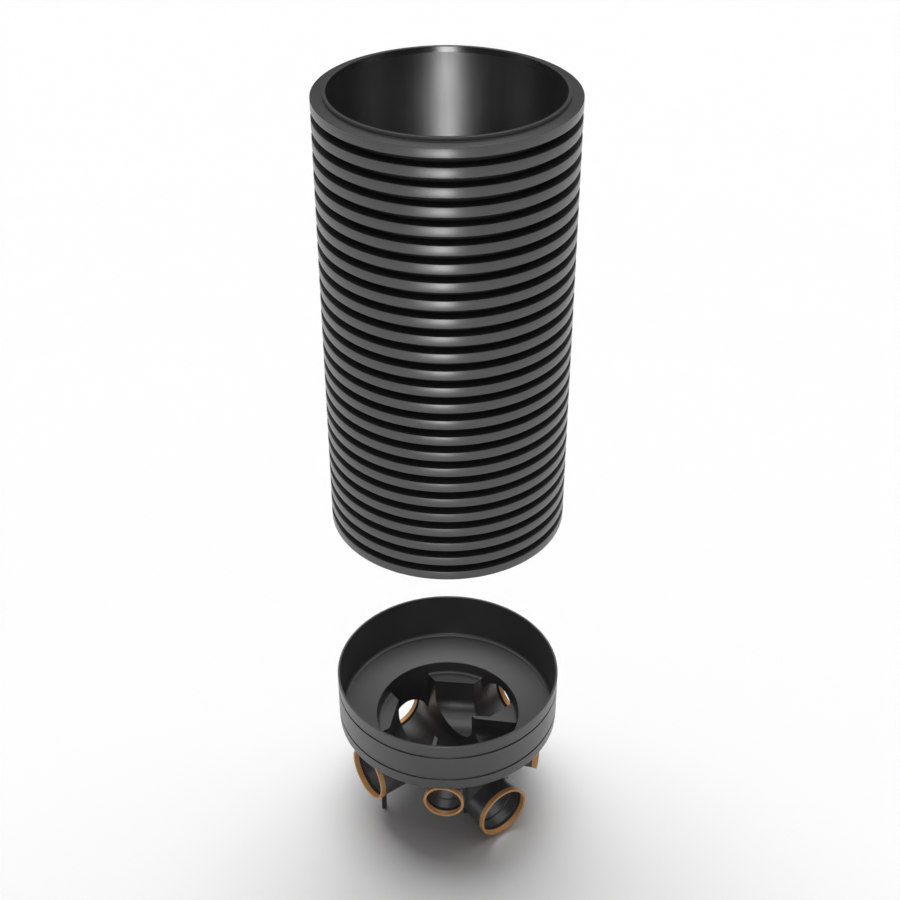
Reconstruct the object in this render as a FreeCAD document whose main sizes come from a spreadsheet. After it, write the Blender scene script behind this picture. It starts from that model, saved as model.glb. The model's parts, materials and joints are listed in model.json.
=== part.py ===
"""Drain inspection chamber: a benched base with six pipe sockets and a corrugated riser shaft.

Frame: +Z up, origin on the ground under the chamber's own axis, millimetres.
A pipe's azimuth is counted from -Y towards +X, seen from above anticlockwise.
"""
import FreeCAD, Part
import math
import os
import Sketcher
from FreeCAD import Placement, Rotation, Vector

doc = FreeCAD.newDocument("inspection_chamber")

# Driving dimensions
SIZES = {
    # Riser shaft: a twin-wall pipe cut in the middle of two valleys
    "riser_bore_radius": 300.0,
    "riser_liner_wall": 9.0,
    "rib_height": 31.0,
    "rib_width": 26.5,
    "rib_pitch": 50.0,
    "rib_draft": 1.2,
    "rib_count": 26,
    "riser_lift": 632.0,
    # Collar and seat of the base
    "collar_clearance": 5.0,
    "collar_wall": 7.0,
    "collar_draft": 1.0,
    "collar_depth": 169.0,
    "collar_rim_round": 2.0,
    "seat_width": 14.0,
    "seat_fillet": 13.0,
    "seat_ring_width": 26.0,
    "seat_ring_depth": 19.0,
    "seat_ring_round": 12.0,
    "band_groove_width": 8.0,
    "band_groove_depth": 4.0,
    "upper_groove_drop": 47.0,
    "lower_groove_drop": 140.0,
    # Shelf, well and benching
    "shelf_width": 99.0,
    "shelf_fall": 24.0,
    "shelf_edge_round": 3.0,
    "well_depth": 43.0,
    "bench_fillet": 10.0,
    "shell_wall": 5.0,
    "bench_over_side_axis": 68.0,
    # Channels, seen from above
    "main_azimuth": 36.6,
    "main_fall": 2.4,
    "side_turn": 93.0,
    "bend_inset": 84.0,
    "small_offset": 32.0,
    "side_rise": 102.0,
    "small_rise": 14.0,
    "ground_gap": 4.8,
    "bell_overlap": 20.0,
    # Sockets for pipes of 160 mm and 110 mm outside diameter
    "large_pipe_radius": 80.0,
    "large_pipe_wall": 4.0,
    "small_pipe_radius": 55.0,
    "small_pipe_wall": 3.2,
    "pipe_clearance": 0.4,
    "socket_step": 1.5,
    "stop_setback": 11.0,
    "main_socket_length": 74.0,
    "side_socket_length": 80.0,
    "small_socket_length": 75.0,
    # Seal pocket and retaining ring
    "pocket_depth": 4.2,
    "pocket_wall": 2.2,
    "seal_length": 12.0,
    "seal_clearance": 0.2,
    "seal_lip": 1.8,
    "ring_clearance": 0.2,
    "ring_wall": 2.2,
    "ring_length": 16.0,
    "ring_flange": 4.0,
    "ring_sleeve": 12.0,
    "ring_round": 1.0,
    # Legs under the side sockets and saddles under the main channel
    "leg_setback": 21.0,
    "leg_width": 16.0,
    "leg_web": 5.0,
    "saddle_inset": 66.0,
    "saddle_width": 110.0,
}

sheet = doc.addObject("Spreadsheet::Sheet", "sizes")
for row, (name, size) in enumerate(SIZES.items(), start=1):
    sheet.set(f"A{row}", name)
    sheet.set(f"B{row}", str(size))
    sheet.setAlias(f"B{row}", name)
doc.recompute()

# Sizes worked out from the driving ones, as expressions on the sheet
LARGE_BORE = "(sizes.large_pipe_radius + sizes.pipe_clearance)"
SMALL_BORE = "(sizes.small_pipe_radius + sizes.pipe_clearance)"
LARGE_CHANNEL = "(sizes.large_pipe_radius - sizes.large_pipe_wall)"
SMALL_CHANNEL = "(sizes.small_pipe_radius - sizes.small_pipe_wall)"
POCKET_SUM = "sizes.pocket_depth + sizes.pocket_wall"
RING_SUM = f"{POCKET_SUM} + sizes.ring_clearance + sizes.ring_wall"
POCKET = "(sizes.ring_sleeve + sizes.seal_length)"

MAIN_AXIS = f"(sizes.ground_gap + {LARGE_BORE} + {RING_SUM})"
OUTLET_AXIS = f"({MAIN_AXIS} - sizes.main_fall)"
SIDE_AXIS = f"({MAIN_AXIS} + sizes.side_rise)"
SMALL_AXIS = f"({SIDE_AXIS} + sizes.small_rise)"
BENCH = f"({SIDE_AXIS} + sizes.bench_over_side_axis)"
SHELF = f"({BENCH} + sizes.well_depth)"
SEAT = f"({SHELF} + sizes.shelf_fall)"
RIM = f"({SEAT} + sizes.collar_depth)"

VALLEY = "(sizes.riser_bore_radius + sizes.riser_liner_wall)"
RIB = f"({VALLEY} + sizes.rib_height)"
COLLAR_BORE = f"({RIB} + sizes.collar_clearance)"
COLLAR_OUTER = f"({COLLAR_BORE} + sizes.collar_wall)"
SEAT_BORE = f"({COLLAR_BORE} - sizes.collar_draft)"
SEAT_INNER = f"({SEAT_BORE} - sizes.seat_width)"
FOOT_OUTER = f"({COLLAR_OUTER} - sizes.collar_draft)"
WELL = f"({SEAT_INNER} - sizes.shelf_width)"
WELL_OUTER = f"({WELL} + sizes.shell_wall)"

# Distances from the chamber's axis, all counted from the well's wall
STOP = f"({WELL} + sizes.stop_setback)"
BEND = f"({WELL} - sizes.bend_inset)"
MAIN_REACH = f"({WELL} + sizes.main_socket_length)"
SIDE_REACH = f"({WELL} + sizes.side_socket_length)"
SMALL_REACH = f"({WELL} + sizes.small_socket_length)"


def number(expression):
    """The value of an expression on the sheet."""
    result = sheet.evalExpression(str(expression))
    return float(getattr(result, "Value", result))


def plane_of(body, role):
    """One of a body's own origin planes."""
    return next(item for item in body.Origin.OriginFeatures if item.Role == role)


def new_body(name):
    body = doc.addObject("PartDesign::Body", name)
    body.Label = name
    return body


def new_sketch(body, name, role):
    sketch = body.newObject("Sketcher::SketchObject", name)
    sketch.AttachmentSupport = [(plane_of(body, role), "")]
    sketch.MapMode = "FlatFace"
    return sketch


def tie_point(sketch, edge, end, along, up):
    """Ties one end of a sketch edge to the sheet, both ways from the sketch's origin."""
    for kind, expression in (("DistanceX", along), ("DistanceY", up)):
        index = sketch.addConstraint(Sketcher.Constraint(kind, -1, 1, edge, end, number(expression)))
        sketch.setExpression(f"Constraints[{index}]", str(expression))


def straight_outline(body, name, corners, role="XZ_Plane", closed=True):
    """A sketch of straight edges whose corners are all tied to the sheet."""
    sketch = new_sketch(body, name, role)
    points = [Vector(number(along), number(up), 0) for along, up in corners]
    last = len(points) if closed else len(points) - 1
    for index in range(last):
        following = points[(index + 1) % len(points)]
        sketch.addGeometry(Part.LineSegment(points[index], following), False)
    for index in range(last if closed else last - 1):
        sketch.addConstraint(Sketcher.Constraint("Coincident", index, 2, (index + 1) % last, 1))
    for index, (along, up) in enumerate(corners[:last]):
        tie_point(sketch, index, 1, along, up)
    if not closed:
        tie_point(sketch, last - 1, 2, *corners[-1])
    return sketch


def turned(body, name, corners):
    """A piece turned about the body's Z axis from its half section."""
    sketch = straight_outline(body, name + "_section", corners)
    turn = body.newObject("PartDesign::Revolution", name)
    turn.Profile = sketch
    turn.ReferenceAxis = (sketch, ["V_Axis"])
    turn.Angle = 360.0
    sketch.Visibility = False
    doc.recompute()
    return turn


def circle_edges(feature, radius, height):
    """The names of a turned feature's round edges at one radius and height."""
    names = []
    for index, edge in enumerate(feature.Shape.Edges, start=1):
        curve = edge.Curve
        if not isinstance(curve, Part.Circle):
            continue
        if abs(curve.Radius - radius) < 0.01 and abs(curve.Center.z - height) < 0.01:
            names.append(f"Edge{index}")
    return names


def rounded(body, name, base, places, size):
    """Rounds the edges at the given radii and heights of a turned body."""
    names = [edge for radius, height in places
             for edge in circle_edges(base, number(radius), number(height))]
    fillet = body.newObject("PartDesign::Fillet", name)
    fillet.Base = (base, names)
    fillet.setExpression("Radius", size)
    doc.recompute()
    return fillet


def pipe_placement(azimuth, distance, offset, height):
    """A frame on a pipe's axis whose +Y looks inwards along the pipe."""
    turn = Rotation(Vector(0, 0, 1), azimuth)
    start = turn.multVec(Vector(number(offset), -number(distance), 0))
    return Placement(start + Vector(0, 0, number(height)), turn)


def mouth_placement(azimuth, distance, offset, height):
    """A frame on a pipe's axis whose +Z looks outwards along the pipe."""
    frame = pipe_placement(azimuth, distance, offset, height)
    return frame.multiply(Placement(Vector(), Rotation(Vector(1, 0, 0), 90)))


# The riser shaft: a liner tube with one rib turned on it and repeated up its length
def make_riser():
    body = new_body("riser_shaft")
    bore = "sizes.riser_bore_radius"
    length = "(sizes.rib_count * sizes.rib_pitch)"
    turned(body, "riser_liner", [(bore, 0), (VALLEY, 0), (VALLEY, length), (bore, length)])
    middle = f"({bore} + sizes.riser_liner_wall / 2)"
    low = "((sizes.rib_pitch - sizes.rib_width) / 2)"
    high = f"({low} + sizes.rib_width)"
    draft = "sizes.rib_draft"
    first_rib = turned(body, "riser_rib", [
        (middle, f"{low} - {draft}"), (VALLEY, f"{low} - {draft}"), (RIB, low),
        (RIB, high), (VALLEY, f"{high} + {draft}"), (middle, f"{high} + {draft}")])
    ribs = body.newObject("PartDesign::LinearPattern", "riser_ribs")
    ribs.Originals = [first_rib]
    ribs.Direction = (first_rib.Profile[0], ["V_Axis"])
    ribs.setExpression("Length", "sizes.rib_pitch * (sizes.rib_count - 1)")
    ribs.setExpression("Occurrences", "sizes.rib_count")
    body.Tip = ribs
    body.Placement = Placement(Vector(0, 0, number(f"{RIM} + sizes.riser_lift")), Rotation())
    body.setExpression("Placement.Base.z", f"{RIM} + sizes.riser_lift")
    doc.recompute()
    return body


# The bowl: collar, seat for the riser, sloping shelf, round well and the bench plate
def make_bowl():
    body = new_body("bowl")
    fall = "(sizes.shelf_fall / sizes.shelf_width)"
    ring_inner = f"({FOOT_OUTER} - sizes.seat_ring_width)"
    under_shelf = f"({SHELF} - sizes.shell_wall)"
    under_seat = f"({under_shelf} + ({ring_inner} - {WELL}) * {fall})"
    foot = f"({SEAT} - sizes.seat_ring_depth)"
    under_bench = f"({BENCH} - sizes.shell_wall)"

    def band_groove(drop):
        low = f"({RIM} - {drop} - sizes.band_groove_width / 2)"
        high = f"({low} + sizes.band_groove_width)"
        inside = f"({COLLAR_OUTER} - sizes.band_groove_depth)"
        return [(COLLAR_OUTER, low), (inside, low), (inside, high), (COLLAR_OUTER, high)]

    section = [(0, under_bench), (WELL_OUTER, under_bench), (WELL_OUTER, under_shelf),
               (ring_inner, under_seat), (ring_inner, foot), (FOOT_OUTER, foot)]
    section += band_groove("sizes.lower_groove_drop")
    section += band_groove("sizes.upper_groove_drop")
    section += [(COLLAR_OUTER, RIM), (COLLAR_BORE, RIM), (SEAT_BORE, SEAT), (SEAT_INNER, SEAT),
                (WELL, SHELF), (WELL, BENCH), (0, BENCH)]
    bowl = turned(body, "bowl_shell", section)
    bowl = rounded(body, "foot_round", bowl, [(FOOT_OUTER, foot)], "sizes.seat_ring_round")
    bowl = rounded(body, "seat_fillet_ring", bowl, [(SEAT_BORE, SEAT)], "sizes.seat_fillet")
    bowl = rounded(body, "rim_round", bowl, [(COLLAR_OUTER, RIM), (COLLAR_BORE, RIM)],
                   "sizes.collar_rim_round")
    bowl = rounded(body, "shelf_edge", bowl, [(WELL, SHELF)], "sizes.shelf_edge_round")
    rounded(body, "bench_cove", bowl, [(WELL, BENCH)], "sizes.bench_fillet")
    return body


def trough(name, half_width, top, path, placement):
    """A half-round channel with upright walls, drawn along a path in its own frame.

    The path starts at the frame's origin, runs in the XY plane and turns its corners as mitres.
    The section stands on the XZ plane: its round bottom is centred on the origin.
    """
    body = new_body(name)
    section = new_sketch(body, name + "_section", "XZ_Plane")
    width, rise = number(half_width), number(top)
    section.addGeometry(Part.ArcOfCircle(Part.Circle(Vector(), Vector(0, 0, 1), width),
                                         math.pi, 2 * math.pi), False)
    corners = [Vector(width, 0, 0), Vector(width, rise, 0), Vector(-width, rise, 0), Vector(-width, 0, 0)]
    for start, end in zip(corners, corners[1:]):
        section.addGeometry(Part.LineSegment(start, end), False)
    for first, second in ((1, 2), (2, 3)):
        section.addConstraint(Sketcher.Constraint("Coincident", first, 2, second, 1))
    section.addConstraint(Sketcher.Constraint("Coincident", 0, 3, -1, 1))
    section.addConstraint(Sketcher.Constraint("Coincident", 0, 2, 1, 1))
    section.addConstraint(Sketcher.Constraint("Coincident", 3, 2, 0, 1))
    for end in (1, 2):
        section.addConstraint(Sketcher.Constraint("PointOnObject", 0, end, -1))
    radius = section.addConstraint(Sketcher.Constraint("Radius", 0, width))
    section.setExpression(f"Constraints[{radius}]", str(half_width))
    section.addConstraint(Sketcher.Constraint("Vertical", 1))
    section.addConstraint(Sketcher.Constraint("Horizontal", 2))
    section.addConstraint(Sketcher.Constraint("Vertical", 3))
    height = section.addConstraint(Sketcher.Constraint("DistanceY", -1, 1, 1, 2, rise))
    section.setExpression(f"Constraints[{height}]", str(top))
    spine = straight_outline(body, name + "_path", path, "XY_Plane", closed=False)
    sweep = body.newObject("PartDesign::AdditivePipe", name + "_sweep")
    sweep.Profile = section
    sweep.Spine = (spine, [f"Edge{index}" for index in range(1, len(path))])
    sweep.Transition = "Right corner"
    section.Visibility = False
    spine.Visibility = False
    body.Placement = placement
    doc.recompute()
    return body


def cylinder(name, radius, length, placement):
    part = doc.addObject("Part::Cylinder", name)
    part.setExpression("Radius", radius)
    part.setExpression("Height", length)
    part.Placement = placement
    return part


def fused(name, pieces):
    part = doc.addObject("Part::MultiFuse", name)
    part.Shapes = pieces
    doc.recompute()
    return part


def combined(kind, name, base, tool):
    part = doc.addObject("Part::" + kind, name)
    part.Base = base
    part.Tool = tool
    doc.recompute()
    return part


# The six pipes: name, azimuth, sideways offset, axis height, distance of the ring's face,
# bore, channel radius, and how the channel turns on its way to the outlet
MAIN = number("sizes.main_azimuth")
SIDE_TURN = number("sizes.side_turn")
OFFSET = "sizes.small_offset"
PIPES = [
    ("inlet_main", MAIN, "0", MAIN_AXIS, MAIN_REACH, LARGE_BORE, LARGE_CHANNEL, 0),
    ("outlet", MAIN + 180, "0", OUTLET_AXIS, MAIN_REACH, LARGE_BORE, LARGE_CHANNEL, 0),
    ("inlet_left", MAIN - SIDE_TURN, "0", SIDE_AXIS, SIDE_REACH, LARGE_BORE, LARGE_CHANNEL, -1),
    ("inlet_right", MAIN + SIDE_TURN, "0", SIDE_AXIS, SIDE_REACH, LARGE_BORE, LARGE_CHANNEL, 1),
    ("inlet_small_left", MAIN - 45, OFFSET, SMALL_AXIS, SMALL_REACH, SMALL_BORE,
     SMALL_CHANNEL, 0),
    ("inlet_small_right", MAIN + 45, f"0 - {OFFSET}", SMALL_AXIS, SMALL_REACH, SMALL_BORE,
     SMALL_CHANNEL, 0),
]


def channel_path(name, bend):
    """A channel's way from the well's edge to the main channel, in its pipe's own frame."""
    if bend:
        return [("0", "0"), ("0", f"{STOP} - {BEND}"), (f"{bend} * {BEND}", STOP)]
    if name == "inlet_main":
        return [("0", "0"), ("0", f"{STOP} * 2")]
    return [("0", "0"), ("0", f"{STOP} - sizes.small_offset")]


def make_channels(wall, top, tag):
    """The channels in the well, each a wall wider than its water way and open up to one height.

    The main channel is drawn from its inlet, so the outlet needs none of its own.
    """
    pieces = []
    for name, azimuth, offset, height, _, _, channel, bend in PIPES:
        if name == "outlet":
            continue
        place = pipe_placement(azimuth, STOP, offset, height)
        pieces.append(trough(f"{name}_{tag}", f"({channel} + {wall})", f"({top} - {height})",
                             channel_path(name, bend), place))
    return pieces


def make_bell(name, azimuth, offset, height, reach, bore, channel):
    """A socket's outer form: it widens from the channel's pipe to the seal pocket at its mouth."""
    body = new_body(f"{name}_bell")
    root = f"({WELL} - sizes.bell_overlap)"
    length = f"({reach} - sizes.ring_flange - {root})"
    straight = f"({length} - {POCKET} - sizes.pocket_wall)"
    start = f"({channel} + sizes.shell_wall + sizes.socket_step)"
    end = f"({bore} + {POCKET_SUM})"
    turned(body, f"{name}_bell_form", [(0, 0), (start, 0), (end, straight), (end, length), (0, length)])
    body.Placement = mouth_placement(azimuth, root, offset, height)
    return body


def make_socket_hollows(name, azimuth, offset, height, reach, bore, channel):
    """A socket's hollows from the well outwards: water way, pipe bore and seal pocket."""
    mouth = f"({reach} - sizes.ring_flange)"
    steps = [
        ("way", channel, f"({WELL} - 2 * sizes.bell_overlap)", mouth),
        ("bore", bore, STOP, reach),
        ("pocket", f"({bore} + sizes.pocket_depth)", f"({mouth} - {POCKET})", reach),
    ]
    return [cylinder(f"{name}_{step}", radius, f"({end} - {start})",
                     mouth_placement(azimuth, start, offset, height))
            for step, radius, start, end in steps]


def make_base(bowl):
    """The base moulding: every outer form joined, then every hollow cut from it."""
    outer_troughs = make_channels("sizes.shell_wall", f"({BENCH} - sizes.shell_wall / 2)", "trough")
    water_ways = make_channels("0", SHELF, "water_way")
    outer_drum = cylinder("well_drum", WELL_OUTER, RIM, Placement())
    inner_drum = cylinder("well_hollow", WELL, RIM, Placement())
    solids = [bowl, combined("Common", "trough_shell", fused("troughs", outer_troughs), outer_drum)]
    hollows = [combined("Common", "channel_hollow", fused("water_ways", water_ways), inner_drum)]
    for name, azimuth, offset, height, reach, bore, channel, _ in PIPES:
        solids.append(make_bell(name, azimuth, offset, height, reach, bore, channel))
        hollows += make_socket_hollows(name, azimuth, offset, height, reach, bore, channel)
    solids += make_supports()
    base = combined("Cut", "chamber_base", fused("base_forms", solids), fused("base_hollows", hollows))
    base.Label = "chamber_base"
    base.Refine = True
    doc.recompute()
    return base


def support_box(name, azimuth, distance, across, along, height):
    """An upright plate on the ground, centred on a pipe's line."""
    part = doc.addObject("Part::Box", name)
    part.setExpression("Length", across)
    part.setExpression("Width", along)
    part.setExpression("Height", height)
    frame = pipe_placement(azimuth, distance, 0, 0)
    part.Placement = frame.multiply(Placement(Vector(-number(across) / 2, -number(along) / 2, 0), Rotation()))
    return part


def make_supports():
    """Cross-shaped legs under the side sockets and saddles under the main channel."""
    supports = []
    leg_top = f"({SIDE_AXIS} - {LARGE_CHANNEL} * 0.8)"
    for side, turn in (("left", -SIDE_TURN), ("right", SIDE_TURN)):
        for web, across, along in (("cross", "sizes.leg_width", "sizes.leg_web"),
                                   ("long", "sizes.leg_web", "sizes.leg_width")):
            supports.append(support_box(f"leg_{side}_{web}", MAIN + turn, f"{WELL} + sizes.leg_setback",
                                        across, along, leg_top))
    for end, turn in (("front", 0), ("back", 180)):
        supports.append(support_box(f"saddle_{end}", MAIN + turn, f"{WELL} - sizes.saddle_inset",
                                    "sizes.saddle_width", "sizes.shell_wall", f"({MAIN_AXIS} / 2)"))
    return supports


def make_ring(name, azimuth, offset, height, reach, bore):
    """A retaining ring: a flange over the socket's end, a skirt round it and a sleeve inside it."""
    body = new_body(f"ring_{name}")
    inner = f"({bore} + sizes.ring_clearance)"
    skirt = f"({bore} + {POCKET_SUM} + sizes.ring_clearance)"
    outer = f"({skirt} + sizes.ring_wall)"
    sleeve = f"({bore} + sizes.pocket_depth - sizes.ring_clearance)"
    length, flange, edge = "sizes.ring_length", "sizes.ring_flange", "sizes.ring_round"
    sleeve_end = f"({length} - {flange} - sizes.ring_sleeve)"
    turned(body, f"ring_{name}_form", [
        (skirt, 0), (f"{outer} - {edge}", 0), (outer, edge), (outer, f"{length} - {edge}"),
        (f"{outer} - {edge}", length), (f"{inner} + {edge}", length), (inner, f"{length} - {edge}"),
        (inner, sleeve_end), (sleeve, sleeve_end), (sleeve, f"{length} - {flange}"),
        (skirt, f"{length} - {flange}")])
    body.Placement = mouth_placement(azimuth, f"({reach} - {length})", offset, height)
    return body


def make_seal(name, azimuth, offset, height, reach, bore):
    """A rubber seal: a band in the pocket behind the ring's sleeve, with two lips for the pipe."""
    body = new_body(f"seal_{name}")
    inner = f"({bore} + sizes.seal_clearance)"
    outer = f"({bore} + sizes.pocket_depth - sizes.seal_clearance)"
    waist = f"({inner} + sizes.seal_lip)"
    length = "sizes.seal_length"
    turned(body, f"seal_{name}_form", [
        (outer, 0), (outer, length), (waist, length), (inner, f"{length} * 0.7"),
        (waist, f"{length} * 0.6"), (waist, f"{length} * 0.5"), (inner, f"{length} * 0.2"),
        (waist, f"{length} * 0.1"), (waist, 0)])
    start = f"({reach} - sizes.ring_flange - {POCKET})"
    body.Placement = mouth_placement(azimuth, start, offset, height)
    return body


nodes = {"riser_shaft": make_riser(), "chamber_base": make_base(make_bowl())}
for pipe, azimuth, offset, height, reach, bore, _, _ in PIPES:
    nodes[f"ring_{pipe}"] = make_ring(pipe, azimuth, offset, height, reach, bore)
    nodes[f"seal_{pipe}"] = make_seal(pipe, azimuth, offset, height, reach, bore)
doc.recompute()

for item in doc.Objects:
    if {"Invalid", "Error"} & set(item.State):
        raise RuntimeError(f"{item.Label} did not build: {item.State}")

os.makedirs("parts", exist_ok=True)
for name, item in nodes.items():
    shape = item.Shape
    if shape.isNull() or not shape.isValid():
        raise RuntimeError(f"{name} has no valid shape")
    shape.exportStep(f"parts/{name}.step")
    box = shape.BoundBox
    print(f"{name}: {len(shape.Solids)} solid, {shape.Volume / 1e6:.3f} litres, "
          f"z {box.ZMin:.1f} to {box.ZMax:.1f}, x {box.XMin:.1f} to {box.XMax:.1f}, "
          f"y {box.YMin:.1f} to {box.YMax:.1f}")
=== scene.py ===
# %% [markdown]
# # A drain inspection chamber, drawn as a maker's catalogue shows it
#
# The chamber has two big plastic pieces. The base is one moulding: a round collar, a sloping
# shelf, a well with channels in its floor, and six sockets for drain pipes. The riser is a length
# of ribbed pipe that is pushed down into the collar. The picture shows the riser lifted straight
# up, so that both pieces can be seen.
#
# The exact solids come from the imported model. This lesson gives them their finish, replaces the
# ribbed pipe by a finer one with rounded edges, and sets up the camera, the floor and the light.

# %% Load the exact model
import json
import math

import bpy
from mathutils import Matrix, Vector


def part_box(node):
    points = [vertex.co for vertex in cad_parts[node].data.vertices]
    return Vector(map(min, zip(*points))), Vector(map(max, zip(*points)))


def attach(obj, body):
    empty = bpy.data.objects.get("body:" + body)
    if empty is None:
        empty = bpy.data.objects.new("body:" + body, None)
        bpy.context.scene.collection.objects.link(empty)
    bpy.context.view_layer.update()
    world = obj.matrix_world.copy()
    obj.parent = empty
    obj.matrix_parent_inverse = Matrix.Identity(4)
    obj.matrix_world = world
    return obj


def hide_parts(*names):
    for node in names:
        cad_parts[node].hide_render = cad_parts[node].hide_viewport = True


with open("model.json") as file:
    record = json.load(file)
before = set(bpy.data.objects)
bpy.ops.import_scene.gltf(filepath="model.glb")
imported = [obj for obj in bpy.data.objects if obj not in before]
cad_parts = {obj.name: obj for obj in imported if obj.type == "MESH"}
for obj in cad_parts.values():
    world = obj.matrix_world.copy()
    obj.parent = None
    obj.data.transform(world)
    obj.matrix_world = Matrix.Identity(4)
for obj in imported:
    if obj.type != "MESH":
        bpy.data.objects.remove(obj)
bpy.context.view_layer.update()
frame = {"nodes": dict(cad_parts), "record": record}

# %% [markdown]
# ## Camera
#
# A catalogue picture of a tall object is taken from above with a long lens, so that its upright
# edges stay nearly parallel. The camera's place and lens could be found by eye, but circles seen at
# a slant give them exactly, and the picture is full of circles. All lengths here are metres.

# %% The camera
LENS_LENGTH = 59.53
LENS_FRAME = 36.0
CAMERA_PLACE = (0.0074, -3.5304, 3.7851)
LOOK_DOWN = math.radians(34.642)

lens = bpy.data.cameras.new("catalogue_lens")
lens.lens = LENS_LENGTH
lens.sensor_width = LENS_FRAME
camera = bpy.data.objects.new("catalogue_camera", lens)
camera.location = CAMERA_PLACE
camera.rotation_euler = (math.pi / 2 - LOOK_DOWN, 0, 0)
bpy.context.collection.objects.link(camera)
bpy.context.scene.camera = camera
bpy.context.scene.view_settings.view_transform = "Standard"
print("Camera looks", round(math.degrees(LOOK_DOWN), 1), "degrees down")

# %% [markdown]
# ## Writing shaders as sums
#
# A procedural material is mostly arithmetic on patterns. Placing a Math node for each sum by hand
# is slow and hard to read. The small class below wraps one socket, so that Python's own signs add
# the Math nodes, and its `node` method adds any other node.

# %% A socket that does sums
class Wire:
    """An output socket of a node tree. Sums with it add Math nodes."""

    def __init__(self, tree, socket=None):
        self.tree = tree
        self.socket = socket

    def node(self, kind, settings, values, output=0):
        """Adds a node: first its settings, then its sockets' values or links."""
        made = self.tree.nodes.new(kind)
        for name, setting in settings.items():
            setattr(made, name, setting)
        for name, value in values.items():
            if isinstance(value, Wire):
                self.tree.links.new(value.socket, made.inputs[name])
            else:
                made.inputs[name].default_value = value
        return Wire(self.tree, made.outputs[output] if made.outputs else None)

    def sum_of(self, operation, first, second):
        """Adds one Math node."""
        return self.node("ShaderNodeMath", {"operation": operation}, {0: first, 1: second})

    def __add__(self, other):
        return self.sum_of("ADD", self, other)

    def __radd__(self, other):
        return self.sum_of("ADD", other, self)

    def __sub__(self, other):
        return self.sum_of("SUBTRACT", self, other)

    def __rsub__(self, other):
        return self.sum_of("SUBTRACT", other, self)

    def __mul__(self, other):
        return self.sum_of("MULTIPLY", self, other)

    def __rmul__(self, other):
        return self.sum_of("MULTIPLY", other, self)


print("Sums ready")

# %% [markdown]
# ## What all the plastics share
#
# Plastic is a coloured body under a clear skin, which the Principled shader draws by itself. What
# makes it look real is that nothing on it is quite even: the pigment is a little cloudy, and the
# skin is duller where it has been handled. Noise on Object coordinates gives both, because those
# coordinates stay with the piece from every side.

# %% Starting a material
def new_material(name):
    """An empty material and a wire to start from."""
    material = bpy.data.materials.new(name)
    material.use_nodes = True
    tree = material.node_tree
    tree.nodes.clear()
    return material, Wire(tree)


def place_on(start):
    """Where a point is on the piece, in metres."""
    return start.node("ShaderNodeTexCoord", {}, {}, "Object")


# %% Patterns on a piece
EVENLY = (1.0, 1.0, 1.0)
CLOUD_EDGES = (0.35, 0.65)
CLOUD_DETAIL = 3.0
GRAIN_DETAIL = 2.0


def cloud(start, scale, detail=CLOUD_DETAIL, stretch=EVENLY):
    """Soft noise from 0 to 1 with that many clouds a metre, squeezed by stretch."""
    place = start.node("ShaderNodeMapping", {}, {"Vector": place_on(start), "Scale": stretch})
    return start.node("ShaderNodeTexNoise", {}, {"Vector": place, "Scale": scale, "Detail": detail})


def blend(start, mask, first, second):
    """One colour turning into another as the mask goes from 0 to 1."""
    return start.node("ShaderNodeMix", {"data_type": "RGBA"},
                      {"Factor": mask, "A": (*first, 1.0), "B": (*second, 1.0)}, "Result")


def contrast(start, value, low, high):
    """A mask that is 0 below low and 1 above high."""
    return start.node("ShaderNodeMapRange", {}, {"Value": value, "From Min": low, "From Max": high})


print("Clouds, blends and masks ready")

# %% [markdown]
# ## Edges and grain
#
# No moulded edge is quite sharp: a small round on it catches a thin line of light. On the riser the
# rounds are real faces, made further down. The exact nodes can't be changed, so their rounds come
# from the Bevel node, which bends the light at an edge and leaves the shape alone. The Bump node then
# adds the grain of the skin, which is far finer than any mesh.

# %% Edges, grain and the plastic itself
EDGE_SAMPLES = 6
PLASTIC_IOR = 1.5


def soft_edges(start, radius):
    """The surface's direction as if each sharp edge had a small round on it."""
    return start.node("ShaderNodeBevel", {"samples": EDGE_SAMPLES}, {"Radius": radius})


def dents(start, height, depth, smooth=None):
    """The surface's direction with a fine relief on it, over rounded edges if they are given."""
    values = {"Strength": 1.0, "Distance": depth, "Height": height}
    if smooth:
        values["Normal"] = smooth
    return start.node("ShaderNodeBump", {}, values)


def finish_plastic(start, colour, roughness, direction, sheen):
    """The Principled shader with what changes over the surface, and its fixed values."""
    skin = start.node("ShaderNodeBsdfPrincipled", {}, {
        "Base Color": colour, "Roughness": roughness, "Normal": direction,
        "IOR": PLASTIC_IOR, "Specular IOR Level": sheen})
    start.node("ShaderNodeOutputMaterial", {}, {"Surface": skin})


print("Edges and grain ready")

# %% [markdown]
# ## Black pipe plastic
#
# The riser is extruded and its ribs are formed by moulds that travel with it. Its skin is smooth
# and takes a long highlight. Faint streaks run along the pipe where it slid through the tool. The
# crowns of the ribs, the top and the bore carry painted light, a little paler colour, and the
# grooves between the ribs carry painted shade, a deep black. These places could be painted by
# hand, but a point's distance from the pipe's axis already tells where it is.

# %% Where light and shade are painted on the pipe
# Painted light and shade: inside the bore, on the crowns and partly on the top the colour is painted
# paler, and the grooves between them get painted shade.
BORE_EDGE = (0.304, 0.302)
CROWN_EDGE = (0.333, 0.339)
TOP_EDGE = (2.414, 2.418)
TOP_PAINTED_LIGHT_SHARE = 0.6
FLAT_ON_THE_GROUND = (1.0, 1.0, 0.0)


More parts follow.
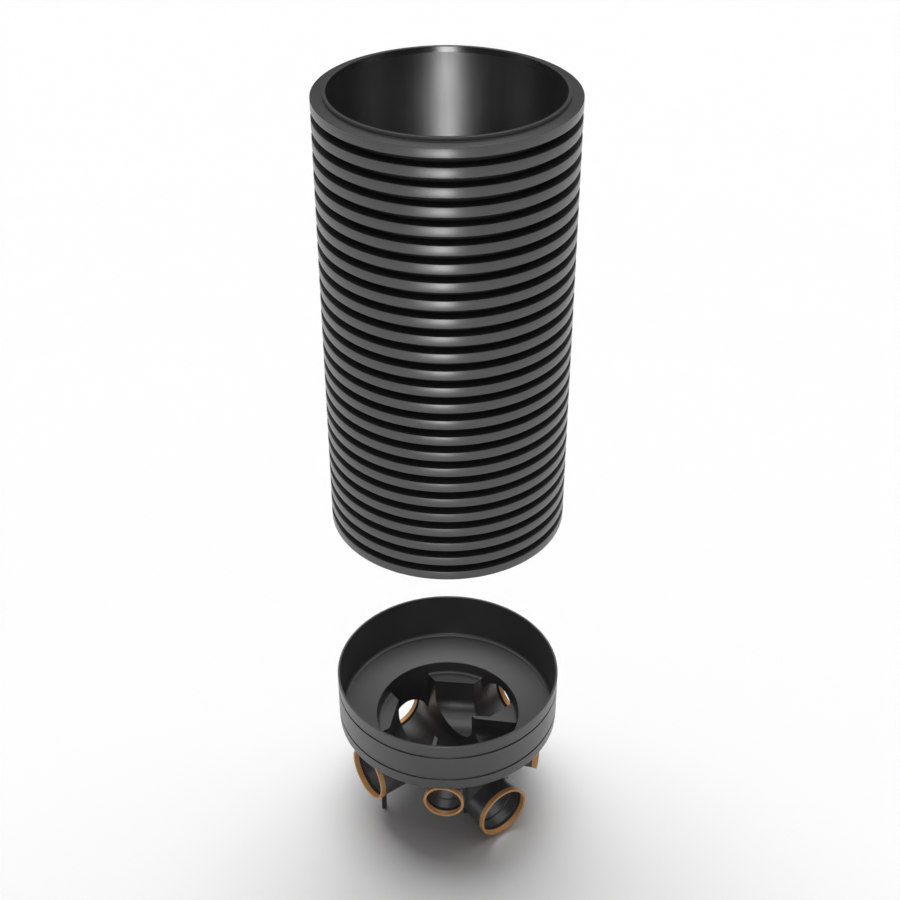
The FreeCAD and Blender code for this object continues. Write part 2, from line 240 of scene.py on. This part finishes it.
def painted_light_and_shade_mask(start):
    """A mask for painted light and shade: 1 in the bore and on the ribs' crowns, partly so on top, and 0
    in the grooves, which get painted shade.
    """
    flat = start.node("ShaderNodeMapping", {}, {"Vector": place_on(start), "Scale": FLAT_ON_THE_GROUND})
    radius = start.node("ShaderNodeVectorMath", {"operation": "LENGTH"}, {0: flat}, "Value")
    height = start.node("ShaderNodeSeparateXYZ", {}, {"Vector": place_on(start)}, "Z")
    bore = contrast(start, radius, *BORE_EDGE)
    crowns = contrast(start, radius, *CROWN_EDGE)
    return bore + crowns + contrast(start, height, *TOP_EDGE) * TOP_PAINTED_LIGHT_SHARE


print("Paler from", CROWN_EDGE[0], "m out, inside", BORE_EDGE[0], "m and above", TOP_EDGE[0], "m")

# %% Riser finish
# Painted shade and painted light: the first colour is the grooves' painted shade, and the second is the
# pipe's tone lifted by painted light for the crowns, the top and the bore.
GROOVE_PAINTED_SHADE = (0.004, 0.004, 0.004)
PIPE_TONE_WITH_PAINTED_LIGHT = (0.033, 0.033, 0.034)
PIPE_GLOSS = 0.9
GROOVE_ROUGHNESS = 0.45
PAINTED_LIT_PLACES_POLISH = 0.2
PAINTED_LIGHT_LEVEL = 0.55
PIPE_CLOUDS = 5.0
PIPE_STREAKS = 90.0
STREAK_DETAIL = 4.0
ALONG_THE_PIPE = (1.0, 1.0, 0.05)
PIPE_GRAIN = 700.0
PIPE_GRAIN_DEPTH = 0.00003


def make_pipe_plastic():
    material, start = new_material("extruded_black_plastic")
    painted_lit_places = painted_light_and_shade_mask(start)
    clouds = contrast(start, cloud(start, PIPE_CLOUDS), *CLOUD_EDGES)
    streaks = cloud(start, PIPE_STREAKS, STREAK_DETAIL, ALONG_THE_PIPE)
    # Painted light and shade: the mask lifts the crowns, the top and the bore towards the paler colour,
    # with random clouds and streaks in it, and leaves the grooves painted black.
    painted_light_share = painted_lit_places * (clouds * 0.25 + streaks * 0.2 + PAINTED_LIGHT_LEVEL)
    colour = blend(start, painted_light_share, GROOVE_PAINTED_SHADE, PIPE_TONE_WITH_PAINTED_LIGHT)
    roughness = streaks * 0.06 + clouds * 0.04 + GROOVE_ROUGHNESS - painted_lit_places * PAINTED_LIT_PLACES_POLISH
    relief = dents(start, cloud(start, PIPE_GRAIN, GRAIN_DETAIL), PIPE_GRAIN_DEPTH)
    finish_plastic(start, colour, roughness, relief, PIPE_GLOSS)
    return material


pipe_plastic = make_pipe_plastic()
print("Made", pipe_plastic.name)

# %% [markdown]
# ## Black moulded plastic
#
# The base is injection moulded in a spark-eroded tool, which leaves a fine even grain. It is a
# little duller and paler than the pipe. The grain could be pushed into the mesh, but it is under a
# millimetre and would need millions of faces, so it is bump only.

# %% Base finish
MOULD_BLACK = (0.040, 0.040, 0.041)
MOULD_FADED = (0.052, 0.052, 0.053)
MOULD_GLOSS = 0.85
MOULD_ROUGHNESS = 0.30
MOULD_CLOUDS = 7.0
MOULD_GRAIN = 1100.0
MOULD_GRAIN_DEPTH = 0.00005
MOULD_EDGE = 0.0016


def make_moulded_plastic():
    material, start = new_material("moulded_black_plastic")
    clouds = contrast(start, cloud(start, MOULD_CLOUDS), *CLOUD_EDGES)
    grain = cloud(start, MOULD_GRAIN, GRAIN_DETAIL)
    colour = blend(start, clouds * 0.6 + grain * 0.3, MOULD_BLACK, MOULD_FADED)
    roughness = clouds * 0.05 + grain * 0.06 + MOULD_ROUGHNESS
    relief = dents(start, grain, MOULD_GRAIN_DEPTH, soft_edges(start, MOULD_EDGE))
    finish_plastic(start, colour, roughness, relief, MOULD_GLOSS)
    return material


moulded_plastic = make_moulded_plastic()
print("Made", moulded_plastic.name)

# %% [markdown]
# ## Ochre ring plastic and seal rubber
#
# The retaining rings are coloured right through, so they only vary a little in tone. The seals
# are soft rubber: nearly black and dull, with a fine powdery bloom. Two mixed colours and a cloud
# pattern are enough for both. A painted image would show its edge where a ring closes.

# %% Ring finish
RING_DEEP = (0.55, 0.272, 0.100)
RING_PALE = (0.63, 0.330, 0.130)
RING_GLOSS = 0.5
RING_ROUGHNESS = 0.34
RING_CLOUDS = 24.0
RING_CLOUD_EDGES = (0.3, 0.7)
RING_GRAIN = 1300.0
RING_GRAIN_DEPTH = 0.00003
RING_EDGE = 0.0005


def make_ring_plastic():
    material, start = new_material("ochre_ring_plastic")
    clouds = contrast(start, cloud(start, RING_CLOUDS), *RING_CLOUD_EDGES)
    grain = cloud(start, RING_GRAIN, GRAIN_DETAIL)
    colour = blend(start, clouds, RING_DEEP, RING_PALE)
    roughness = grain * 0.08 + RING_ROUGHNESS
    relief = dents(start, grain, RING_GRAIN_DEPTH, soft_edges(start, RING_EDGE))
    finish_plastic(start, colour, roughness, relief, RING_GLOSS)
    return material


ring_plastic = make_ring_plastic()
print("Made", ring_plastic.name)

# %% Seal finish
RUBBER_BLACK = (0.016, 0.016, 0.017)
RUBBER_BLOOM = (0.030, 0.030, 0.031)
RUBBER_GLOSS = 0.3
RUBBER_ROUGHNESS = 0.6
BLOOM_CLOUDS = 60.0
BLOOM_DETAIL = 5.0
BLOOM_EDGES = (0.4, 0.8)
RUBBER_GRAIN = 1500.0
RUBBER_GRAIN_DEPTH = 0.00004
RUBBER_EDGE = 0.0004


def make_seal_rubber():
    material, start = new_material("seal_rubber")
    bloom = contrast(start, cloud(start, BLOOM_CLOUDS, BLOOM_DETAIL), *BLOOM_EDGES)
    colour = blend(start, bloom, RUBBER_BLACK, RUBBER_BLOOM)
    roughness = bloom * 0.15 + RUBBER_ROUGHNESS
    grain = cloud(start, RUBBER_GRAIN, GRAIN_DETAIL)
    relief = dents(start, grain, RUBBER_GRAIN_DEPTH, soft_edges(start, RUBBER_EDGE))
    finish_plastic(start, colour, roughness, relief, RUBBER_GLOSS)
    return material


seal_rubber = make_seal_rubber()
print("Made", seal_rubber.name)

# %% [markdown]
# ## Finishes on the exact pieces
#
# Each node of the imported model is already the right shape, so it only takes a material. The nodes
# could be named one by one, but the first word of a node's name already says what it is made of.

# %% Give each node its finish
FINISHES = {
    "riser": pipe_plastic,
    "chamber": moulded_plastic,
    "ring": ring_plastic,
    "seal": seal_rubber,
}

for name, node in frame["nodes"].items():
    finish = FINISHES[name.split("_")[0]]
    node.data.materials.clear()
    node.data.materials.append(finish)
print("Finished", len(frame["nodes"]), "nodes")

# %% [markdown]
# ## The ribbed riser
#
# The real riser is a pipe with hollow ribs moulded round it, one every 50 mm, and every corner of a
# rib is rounded because the plastic is blown into the mould. It could be turned in one go from a
# long outline, but a person at the screen models one rib, rounds it and repeats it, and that is also
# the easiest to change. So a circle is drawn up into one rib, the Bevel modifier rounds its corners,
# the Array modifier stacks the ribs, and the two open ends are joined through the bore.

# %% The sizes of the riser
riser_low, riser_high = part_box("riser_shaft")
mounts = {mount["name"]: mount for mount in frame["record"]["mounts"]}
RIB_COUNT = 26
RIB_PITCH = (riser_high[2] - riser_low[2]) / RIB_COUNT
RIB_RADIUS = riser_high[0]
RIB_WIDTH = 0.0265
RIB_DRAFT = 0.0012
VALLEY_RADIUS = 0.309
BORE_RADIUS = mounts["riser_bore"]["dims"]["r_mm"] / 1000
PIPE_SIDES = 144
print(RIB_COUNT, "ribs,", round(RIB_PITCH * 1000, 1), "mm apart")

# %% Draw one rib up from a circle
bpy.ops.object.select_all(action="DESELECT")
bpy.ops.mesh.primitive_circle_add(vertices=PIPE_SIDES, radius=VALLEY_RADIUS,
                                  location=(0, 0, riser_low[2]))
riser = bpy.context.object
riser.name = "riser_corrugated"
bpy.ops.object.transform_apply(location=True)

valley_half = (RIB_PITCH - RIB_WIDTH) / 2
RIB_STEPS = [
    (valley_half - RIB_DRAFT, VALLEY_RADIUS),
    (RIB_DRAFT, RIB_RADIUS),
    (RIB_WIDTH, RIB_RADIUS),
    (RIB_DRAFT, VALLEY_RADIUS),
    (valley_half - RIB_DRAFT, VALLEY_RADIUS),
]

bpy.ops.object.mode_set(mode="EDIT")
bpy.ops.mesh.select_all(action="SELECT")
radius = VALLEY_RADIUS
for rise, next_radius in RIB_STEPS:
    growth = next_radius / radius
    bpy.ops.mesh.extrude_region_move(TRANSFORM_OT_translate={"value": (0, 0, rise)})
    bpy.ops.transform.resize(value=(growth, growth, 1), center_override=(0, 0, 0))
    radius = next_radius
bpy.ops.object.mode_set(mode="OBJECT")
print("One rib has", len(riser.data.polygons), "faces")

# %% [markdown]
# ### Rounding and repeating
#
# The corners of the rib could be rounded by hand with the bevel tool. The Bevel modifier is surer,
# because it finds each sharp edge by its angle. The Array modifier then stacks the ribs, one pitch
# apart, and welds the circles of points where two of them meet.

# %% Round the rib and repeat it
CORNER_ROUND = 0.0010
CORNER_STEPS = 3
CORNER_ANGLE = math.radians(40)
WELD_DISTANCE = 0.0001


def round_corners(piece, size, angle):
    """Rounds every edge of a piece that is sharper than an angle."""
    bevel = piece.modifiers.new("rounded_corners", "BEVEL")
    bevel.width = size
    bevel.segments = CORNER_STEPS
    bevel.limit_method = "ANGLE"
    bevel.angle_limit = angle
    bpy.ops.object.modifier_apply(modifier=bevel.name)


round_corners(riser, CORNER_ROUND, CORNER_ANGLE)
stack = riser.modifiers.new("rib_stack", "ARRAY")
stack.count = RIB_COUNT
stack.use_relative_offset = False
stack.use_constant_offset = True
stack.constant_offset_displace = (0, 0, RIB_PITCH)
stack.use_merge_vertices = True
stack.merge_threshold = WELD_DISTANCE
bpy.ops.object.modifier_apply(modifier=stack.name)
print("The stack has", len(riser.data.polygons), "faces")

# %% [markdown]
# ### The cut ends and the bore
#
# The real pipe is sawn through at both ends, so a flat ring shows between its outer wall and its
# smooth bore. A second pipe could be put inside this one, but its ends would not join. So the two
# end circles are selected by their height and drawn inwards, and a bridge between them is the bore.
# The saw cut's edges are rubbed down, which rounds them by about a millimetre.

# %% Join the two ends through the bore
END_ROUND = 0.0012
SAME_HEIGHT = 0.00001

for point in riser.data.vertices:
    end_gap = min(point.co.z - riser_low[2], riser_high[2] - point.co.z)
    point.select = end_gap < SAME_HEIGHT
for edge in riser.data.edges:
    edge.select = all(riser.data.vertices[corner].select for corner in edge.vertices)
for face in riser.data.polygons:
    face.select = False

bore_share = BORE_RADIUS / VALLEY_RADIUS
bpy.ops.object.mode_set(mode="EDIT")
bpy.ops.mesh.extrude_region_move()
bpy.ops.transform.resize(value=(bore_share, bore_share, 1), center_override=(0, 0, 0))
bpy.ops.mesh.bridge_edge_loops()
bpy.ops.mesh.select_all(action="SELECT")
bpy.ops.mesh.normals_make_consistent(inside=False)
bpy.ops.object.mode_set(mode="OBJECT")
round_corners(riser, END_ROUND, CORNER_ANGLE)
bpy.ops.object.shade_smooth_by_angle(angle=CORNER_ANGLE)

riser.data.materials.append(pipe_plastic)
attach(riser, "root")
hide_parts("riser_shaft")
print("The riser has", len(riser.data.polygons), "faces")

# %% [markdown]
# ## The floor
#
# The catalogue picture has no horizon: floor and background are one white. A curved paper backdrop
# would do that from the front, but its end would show from behind. A wide white floor does it from
# every side, and it keeps the soft shadow that makes the chamber stand on something.

# %% The floor
FLOOR_HALF_WIDTH = 40.0
FLOOR_WHITE = (1.0, 1.0, 1.0)
FLOOR_PALE = (0.82, 0.82, 0.82)


def make_floor_paint():
    """White to the camera and to reflections, and a little greyer as a source of bounced light."""
    material, start = new_material("floor_paint")
    bounced = start.node("ShaderNodeLightPath", {}, {}, "Is Diffuse Ray")
    colour = blend(start, bounced, FLOOR_WHITE, FLOOR_PALE)
    paint = start.node("ShaderNodeBsdfDiffuse", {}, {"Color": colour})
    start.node("ShaderNodeOutputMaterial", {}, {"Surface": paint})
    return material


bpy.ops.object.select_all(action="DESELECT")
bpy.ops.mesh.primitive_plane_add(size=2 * FLOOR_HALF_WIDTH, location=(0, 0, 0))
floor = bpy.context.object
floor.name = "studio_floor"
floor.data.materials.append(make_floor_paint())
print("Floor laid")

# %% [markdown]
# ## The air
#
# Black gloss plastic has little colour of its own: what shows on it is mostly the room. The room
# could be built from panels, but a sky with three strengths needs no objects. It is white to the
# camera and faint as a light. In reflections it is dim at the horizon and bright overhead, like a
# studio with a lit ceiling.

# %% The air round the chamber
SKY_STRENGTH = 0.10
DOME_EDGE = 0.15
DOME_TOP = 2.3
DOME_GATHERING = 4.0

world = bpy.data.worlds.new("studio_air")
bpy.context.scene.world = world
world.use_nodes = True
world.node_tree.nodes.clear()
air = Wire(world.node_tree)
to_camera = air.node("ShaderNodeLightPath", {}, {}, "Is Camera Ray")
to_gloss = air.node("ShaderNodeLightPath", {}, {}, "Is Glossy Ray")
heading = air.node("ShaderNodeTexCoord", {}, {}, "Generated")
height = air.node("ShaderNodeSeparateXYZ", {}, {"Vector": heading}, "Z")
dome = air.sum_of("POWER", height, DOME_GATHERING) * DOME_TOP + DOME_EDGE
strength = to_camera * (1.0 - SKY_STRENGTH) + to_gloss * (dome - SKY_STRENGTH) + SKY_STRENGTH
glow = air.node("ShaderNodeBackground", {}, {"Color": (1, 1, 1, 1), "Strength": strength})
air.node("ShaderNodeOutputWorld", {}, {"Surface": glow})
print("Sky", SKY_STRENGTH, "and up to", DOME_EDGE + DOME_TOP, "in reflections")

# %% [markdown]
# ## Lamps
#
# The main light is a very large soft one above and a little behind, so the broad shadow falls in
# front of the base. A weaker one from the right and a very wide, low one behind soften that
# shadow's sides. A faint one from the camera's side fills the fronts, and is kept off the floor so
# that the shadow stays. Area lamps could do the same, but a wide sun lights the whole floor evenly.

# %% The soft lights
def make_soft_light(name, power, spread, tilt, lean):
    """A soft light without end. A negative tilt brings it from behind, a negative lean from the left."""
    sun = bpy.data.lights.new(name, "SUN")
    sun.energy = power
    sun.angle = math.radians(spread)
    lamp = bpy.data.objects.new(name, sun)
    lamp.rotation_euler = (math.radians(tilt), math.radians(lean), 0)
    lamp.visible_glossy = False
    bpy.context.collection.objects.link(lamp)
    return lamp


make_soft_light("key_light", 2.20, 48, -25, -6)
make_soft_light("right_light", 0.45, 50, -27, 23)
make_soft_light("wide_light", 0.64, 120, -45, -12)
front_fill = make_soft_light("front_fill", 0.62, 40, 60, 0)

chamber_only = bpy.data.collections.new("lit_by_the_front_fill")
chamber_only.objects.link(floor)
chamber_only.collection_objects[0].light_linking.link_state = "EXCLUDE"
front_fill.light_linking.receiver_collection = chamber_only
print("Soft lights placed")

# %% [markdown]
# ## Softboxes
#
# The bright line down the ribs and in the bore is the mirror image of a tall narrow softbox. A
# brighter lamp would give such a line too, but it would also lift the floor and the shadow. These
# panels are hidden from diffuse rays, so they are only there to be reflected.

# %% The softboxes that the plastic reflects
BOX_RADIANCE = 9.0


def make_softbox(name, place, width, height, radiance):
    """An upright panel that faces the way the camera looks and shows in reflections only."""
    panel = bpy.data.lights.new(name, "AREA")
    panel.shape = "RECTANGLE"
    panel.size = width
    panel.size_y = height
    panel.energy = radiance * math.pi * width * height
    box = bpy.data.objects.new(name, panel)
    box.location = place
    box.rotation_euler = (math.pi / 2, 0, 0)
    box.visible_diffuse = False
    bpy.context.collection.objects.link(box)


make_softbox("front_softbox", (-0.18, -3.3, 0.95), 0.8, 1.4, BOX_RADIANCE)
make_softbox("side_softbox", (-0.95, -3.1, 0.95), 0.6, 1.4, BOX_RADIANCE * 0.3)
make_softbox("bore_softbox", (0.0, -0.285, 2.16), 0.12, 0.50, BOX_RADIANCE * 1.3)
print("Softboxes placed")

# %% [markdown]
